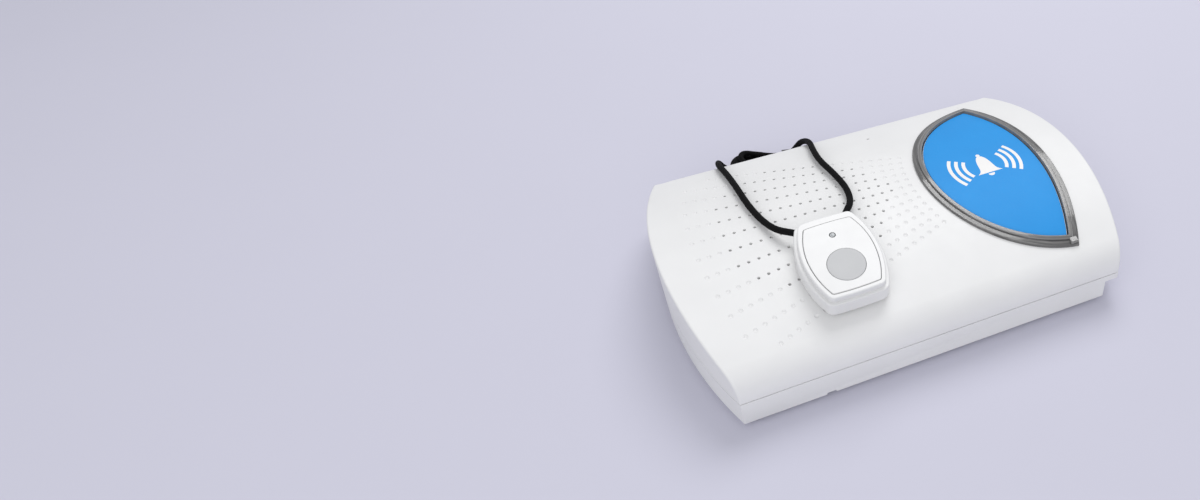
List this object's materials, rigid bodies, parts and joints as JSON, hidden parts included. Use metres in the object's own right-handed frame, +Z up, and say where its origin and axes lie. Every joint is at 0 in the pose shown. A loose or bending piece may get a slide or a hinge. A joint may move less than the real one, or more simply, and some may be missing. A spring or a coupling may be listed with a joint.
{
  "type": "medical alert base station",
  "caption": "White crowned home base station with a large blue help key in a smoky ring, a fan of speaker holes, and its neck pendant lying on top on a black cord.",
  "frame": {"origin": "middle of the footprint on the surface that the feet stand on", "axes": "+Z up, +X to the end with the large button, +Y to the rear edge with the power inlet"},
  "size_m": [0.1896, 0.159, 0.0477],
  "materials": {
    "white_case": "fine matte white moulding",
    "smoky_bezel": "smoky clear, polished",
    "blue_key": "satin blue print film",
    "white_key": "moulded key under its film",
    "pendant_white": "satin white moulding",
    "pendant_grey": "soft grey button",
    "black_cord": "black braided cord",
    "inner_plastic": "plain grey moulding",
    "black_plastic": "black moulding",
    "rubber_grey": "soft grey rubber",
    "board_green": "solder mask",
    "steel": "plated steel",
    "battery_wrap": "shrink sleeve",
    "cone_paper": "paper cone",
    "cloth_dark": "dark acoustic cloth",
    "clear_lens": "small lens"
  },
  "bodies": {
    "base": {"top_cover": "white_case", "base_shell": "white_case", "battery_door": "white_case", "rubber_feet": "rubber_grey", "case_screws": "steel", "board_screws": "steel", "carrier_screws": "steel", "speaker_screws": "steel", "battery_door_screw": "steel", "battery_pack": "battery_wrap", "button_bezel": "smoky_bezel", "button_carrier": "inner_plastic", "button_board": "board_green", "switch_body": "black_plastic", "status_lights": "clear_lens", "button_springs": "steel", "speaker_frame": "black_plastic", "speaker_cone": "cone_paper", "speaker_magnet": "steel", "speaker_gasket": "rubber_grey", "grille_cloth": "cloth_dark", "main_board": "board_green", "cellular_module": "steel", "antenna": "steel", "power_inlet": "black_plastic", "power_switch_frame": "black_plastic", "microphone_boot": "rubber_grey", "microphone": "steel"},
    "help_button": {"help_button": "white_key", "button_film": "blue_key"},
    "switch_stem": {"switch_stem": "black_plastic"},
    "power_slider": {"power_switch_slider": "black_plastic"},
    "pendant": {"pendant_shell": "pendant_white", "pendant_seal": "rubber_grey", "pendant_front": "pendant_white", "pendant_face": "pendant_white", "pendant_light": "clear_lens", "pendant_cell": "steel", "pendant_board": "board_green", "pendant_dome": "steel", "cord_left": "black_cord", "cord_right": "black_cord", "cord_hank": "black_cord", "hank_tie": "black_plastic"},
    "pendant_button": {"pendant_button": "pendant_grey"}
  },
  "joints": [
    {"name": "help_button_press", "type": "slide", "parent": "base", "child": "help_button", "axis": [0, 0, -1], "range_m": [0, 0.0012], "stiffness_N_per_m": 1500, "springref_m": -0.001, "deforming": ["button_springs"]},
    {"name": "switch_stem_press", "type": "slide", "parent": "base", "child": "switch_stem", "axis": [0, 0, -1], "range_m": [0, 0.0012]},
    {"name": "power_switch", "type": "slide", "parent": "base", "child": "power_slider", "axis": [1, 0, 0], "range_m": [0, 0.002]},
    {"name": "pendant_lift", "type": "slide", "parent": "base", "child": "pendant", "axis": [0, 0, 1], "range_m": [0, 0.04]},
    {"name": "pendant_button_press", "type": "slide", "parent": "pendant", "child": "pendant_button", "axis": [0, 0.1889, -0.982], "range_m": [0, 0.0005], "stiffness_N_per_m": 1000, "springref_m": -0.0006}
  ],
  "couplings": [
    {"joint": "switch_stem_press", "follows": "help_button_press", "ratio": 1}
  ]
}
